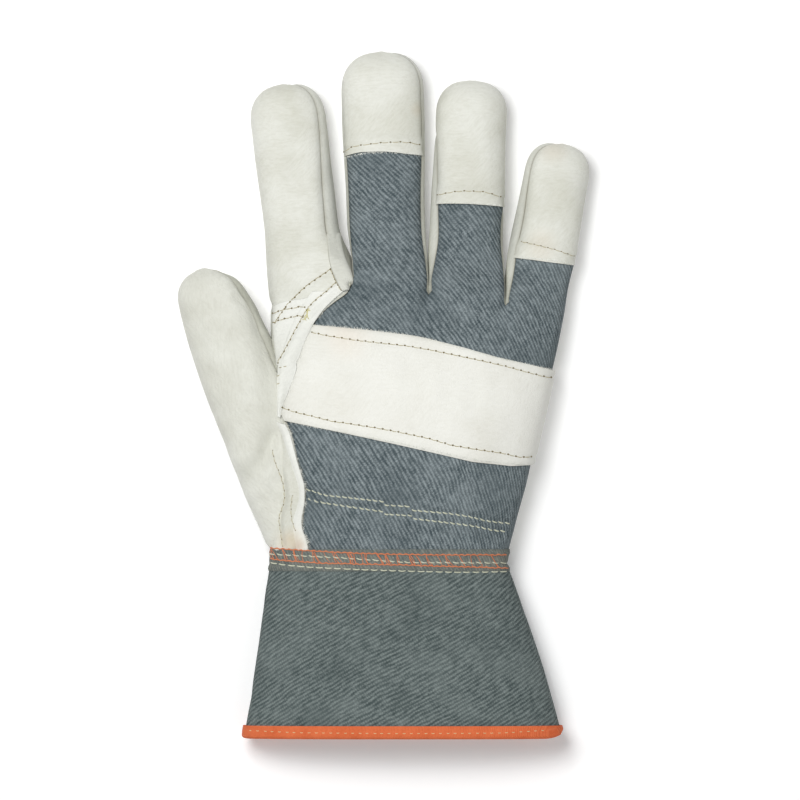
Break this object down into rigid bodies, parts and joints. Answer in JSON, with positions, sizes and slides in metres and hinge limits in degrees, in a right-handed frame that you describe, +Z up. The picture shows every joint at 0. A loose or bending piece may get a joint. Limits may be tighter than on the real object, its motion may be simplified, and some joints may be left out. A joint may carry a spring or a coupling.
{
  "type": "leather fitter glove",
  "caption": "Right-hand work glove lying on its palm: leather palm, fingers, thumb and knuckle strap, twill back and flared twill cuff with a bound edge.",
  "frame": {"origin": "middle of the underside's bounding box, on the floor that the glove lies on", "axes": "+Y from the cuff towards the finger tips, +X towards the little finger's side, +Z up from the palm to the back"},
  "size_m": [0.1612, 0.2704, 0.0375],
  "materials": {
    "leather": "white grain cowhide, softly wrinkled, matt",
    "side_leather": "white grain cowhide in the strips between the fingers",
    "strap_leather": "bright white grain cowhide strap",
    "cloth": "blue-grey cotton twill",
    "cuff_cloth": "rubberised blue-grey cotton twill, stiff",
    "tape": "woven orange binding tape",
    "overlock": "overlocked seam of orange and cream thread"
  },
  "bodies": {
    "root": {"palm_leather": "leather", "back_cloth": "cloth", "index_back": "leather", "index_patch": "leather", "knuckle_strap": "strap_leather", "thumb": "leather", "thumb_gusset": "side_leather", "cuff": "cuff_cloth", "cuff_binding": "tape", "wrist_band": "overlock", "middle_tip": "leather", "ring_tip": "leather", "little_tip": "leather", "fourchette_index_middle": "side_leather", "fourchette_middle_ring": "side_leather", "fourchette_ring_little": "side_leather"}
  },
  "joints": []
}
